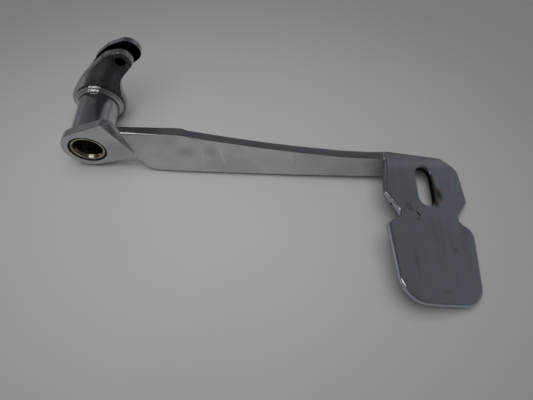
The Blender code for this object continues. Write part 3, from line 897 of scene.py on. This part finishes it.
def foot_plate_outline():
    """Two equal pads with a waist between them, in mm, from the arm's end round to the outer end."""
    right = [(18.0, PLATE_LENGTH_IN, 4.0), (29.8, 38.8, 10.0), (32.0, 13.4, 5.0), (20.3, -1.2, 4.4),
             (32.6, -8.0, 9.0), (28.6, -PLATE_LENGTH_OUT, 15.0)]
    left = [(0.0, -PLATE_LENGTH_OUT - 0.5, 90.0), (-28.8, -PLATE_LENGTH_OUT, 19.0), (-32.4, -8.0, 3.8),
            (-20.6, -0.9, 4.2), (-31.8, 13.4, 2.6), (-27.4, 40.0, 2.5), (-25.4, PLATE_LENGTH_IN, 2.5)]
    return [p * MM for p in rounded(right + left)]


def slot_outline(radius):
    up = Vector((0.0, (SLOT_LENGTH - SLOT_WIDTH) / 2.0))
    return arc(SLOT_CENTRE + up, radius, 0.0, 180.0) + arc(SLOT_CENTRE - up, radius, 180.0, 360.0)


def bend_lip(mesh):
    """Bend the plate's inner lip down in a soft curve about a line that runs slightly askew."""
    across = Vector((math.cos(BEND_SKEW), math.sin(BEND_SKEW), 0.0))
    inward = Vector((-math.sin(BEND_SKEW), math.cos(BEND_SKEW), 0.0))
    sheet = bmesh.new()
    sheet.from_mesh(mesh)
    for k in range(BEND_CUTS + 1):
        offset = BEND_WIDTH * (k / BEND_CUTS - 0.5)
        geometry = sheet.verts[:] + sheet.edges[:] + sheet.faces[:]
        bmesh.ops.bisect_plane(sheet, geom=geometry, plane_co=BEND_POINT + inward * offset, plane_no=inward,
                               dist=0.001 * MM)
    radius = BEND_WIDTH / PLATE_BEND
    for v in sheet.verts:
        span = (v.co - BEND_POINT).dot(inward) + BEND_WIDTH / 2.0
        if span <= 0.0:
            continue
        turn = PLATE_BEND * min(1.0, span / BEND_WIDTH)
        rest = max(0.0, span - BEND_WIDTH)
        reach = (radius + v.co.z) * math.sin(turn) + rest * math.cos(turn)
        drop = (radius + v.co.z) * math.cos(turn) - radius - rest * math.sin(turn)
        v.co = BEND_POINT + across * (v.co - BEND_POINT).dot(across) + inward * (reach - BEND_WIDTH / 2.0)
        v.co.z = drop
    sheet.to_mesh(mesh)
    sheet.free()


def make_foot_plate():
    """The slotted plate, made flat, then bent and set at the arm's end."""
    slot = hole_cutter(slot_outline, SLOT_WIDTH / 2.0, PLATE_THICKNESS, SLOT_EDGE)
    slab = slab_mesh("foot_plate", foot_plate_outline(), PLATE_THICKNESS, PLATE_ROUNDING, 7)
    mesh = applied(slab, [("DIFFERENCE", slot)])
    bend_lip(mesh)
    mesh.transform(Matrix.Translation((0.0, 0.0, -PLATE_THICKNESS / 2.0)))
    mesh.transform(PLATE_FRAME)
    add_piece("foot_plate_plated", "foot_plate", mesh, plate_chrome())


# ---------------------------------------------------------------- floor, light and camera

FLOOR_REACH = 3.0
PAPER_DEPTH = 0.05 * MM
PAPER = (0.53, 0.525, 0.525)
PAPER_PALER = (0.56, 0.555, 0.55)
# The paper's colour far out, as painted shade.
PAPER_SHADED = (0.27, 0.265, 0.26)
PAPER_ROUGHNESS = 0.75
# The painted pool of light in the floor's middle: its place and its reach, in metres.
FLOOR_LIGHT_POOL = ((-0.06, -0.01, 0.0), (0.36, 0.27, 1.0))

# Each lamp is (place, size in X and in Y, power), in metres and watts.
WIDE_LAMP = ((0.02, -0.10, 1.1), (1.1, 1.1), 10.5)
STRIP_LAMP = ((-0.46, -0.30, 1.0), (0.70, 0.20), 2.5)

# The room's tone in each direction, from level and below (0) to straight up (1).
ROOM_TONES = [(0.0, 0.25), (0.10, 0.22), (0.28, 0.18), (0.45, 0.12),
              (0.65, 0.10), (0.85, 0.11), (1.0, 0.08)]
ROOM_TINT = (0.97, 0.99, 1.04)
# Each wall is (direction, cosine where it starts, cosine where it is full, gain).
PALE_WALLS = [((0.74, 0.46, 0.49), 0.70, 0.95, 1.35), ((-0.58, 0.63, 0.52), 0.86, 0.96, 1.25)]

CAMERA_PLACE = Vector((18.37, -172.04, 316.71)) * MM
CAMERA_TURN = [math.radians(a) for a in (27.764, 1.755, 1.803)]
CAMERA_LENS = 33.77
SENSOR_WIDTH = 36.0


def make_floor():
    """Pale paper with a painted pool of light: it darkens away from the lever."""
    mesh = bpy.data.meshes.new("floor")
    corners = [(-FLOOR_REACH, -FLOOR_REACH), (FLOOR_REACH, -FLOOR_REACH),
               (FLOOR_REACH, FLOOR_REACH), (-FLOOR_REACH, FLOOR_REACH)]
    mesh.from_pydata([(x, y, 0.0) for x, y in corners], [], [(0, 1, 2, 3)])
    floor = bpy.data.objects.new("floor", mesh)
    bpy.context.scene.collection.objects.link(floor)
    tree = Tree("pale_paper", PAPER, 0.0, PAPER_ROUGHNESS, Matrix())
    mottle = tree.ranged(tree.noise(7.0, 3.0, 0.5), 0.3, 0.7)
    # Painted light: the paper is paler round the lever and darker further out.
    middle = tree.spot(*FLOOR_LIGHT_POOL, core=0.0)
    tree.colour(tree.mixed(middle, PAPER_SHADED, tree.mixed(mottle, PAPER, PAPER_PALER)))
    tree.bump(tree.noise(260.0, 4.0, 0.6), PAPER_DEPTH)
    mesh.materials.append(tree.material)


def level_lamp(name, place, size, power):
    """A rectangular lamp that faces down."""
    lamp = bpy.data.lights.new(name, "AREA")
    lamp.shape = "RECTANGLE"
    lamp.size, lamp.size_y = size
    lamp.energy = power
    light = bpy.data.objects.new(name, lamp)
    light.location = place
    bpy.context.scene.collection.objects.link(light)
    return light


def make_lights():
    """A wide lamp lights the floor, and a strip is only seen as glints in the plating."""
    wide = level_lamp("wide_lamp", *WIDE_LAMP)
    wide.visible_glossy = False
    strip = level_lamp("strip_lamp", *STRIP_LAMP)
    strip.visible_diffuse = False


def make_world():
    """A dim room: grey near the ground and dark above, with paler walls at the back."""
    world = bpy.data.worlds.new("room")
    bpy.context.scene.world = world
    world.use_nodes = True
    nodes = world.node_tree.nodes
    links = world.node_tree.links
    direction = nodes.new("ShaderNodeTexCoord").outputs["Generated"]
    split = nodes.new("ShaderNodeSeparateXYZ")
    links.new(direction, split.inputs["Vector"])
    ramp = nodes.new("ShaderNodeValToRGB")
    ramp.color_ramp.interpolation = "B_SPLINE"
    while len(ramp.color_ramp.elements) < len(ROOM_TONES):
        ramp.color_ramp.elements.new(1.0)
    for element, (height, tone) in zip(ramp.color_ramp.elements, ROOM_TONES):
        element.position = height
        element.color = (*(tone * part for part in ROOM_TINT), 1.0)
    links.new(split.outputs["Z"], ramp.inputs["Fac"])

    strength = nodes.new("ShaderNodeMath")
    strength.operation = "MULTIPLY"
    for (toward, start, full, gain), socket in zip(PALE_WALLS, strength.inputs):
        aligned = nodes.new("ShaderNodeVectorMath")
        aligned.operation = "DOT_PRODUCT"
        aligned.inputs[1].default_value = Vector(toward).normalized()
        links.new(direction, aligned.inputs[0])
        paler = smooth_range(nodes, links, aligned.outputs["Value"], start, full, 1.0, gain)
        links.new(paler, socket)
    background = nodes["Background"]
    links.new(ramp.outputs["Color"], background.inputs["Color"])
    links.new(strength.outputs["Value"], background.inputs["Strength"])


def make_camera():
    data = bpy.data.cameras.new("camera")
    data.sensor_width = SENSOR_WIDTH
    data.lens = CAMERA_LENS
    camera = bpy.data.objects.new("camera", data)
    camera.location = CAMERA_PLACE
    camera.rotation_euler = CAMERA_TURN
    bpy.context.scene.collection.objects.link(camera)
    bpy.context.scene.camera = camera


make_lever_arm()
make_pivot()
make_clevis()
make_pivot_welds()
make_foot_plate()
make_plate_welds()
make_floor()
make_world()
make_lights()
make_camera()
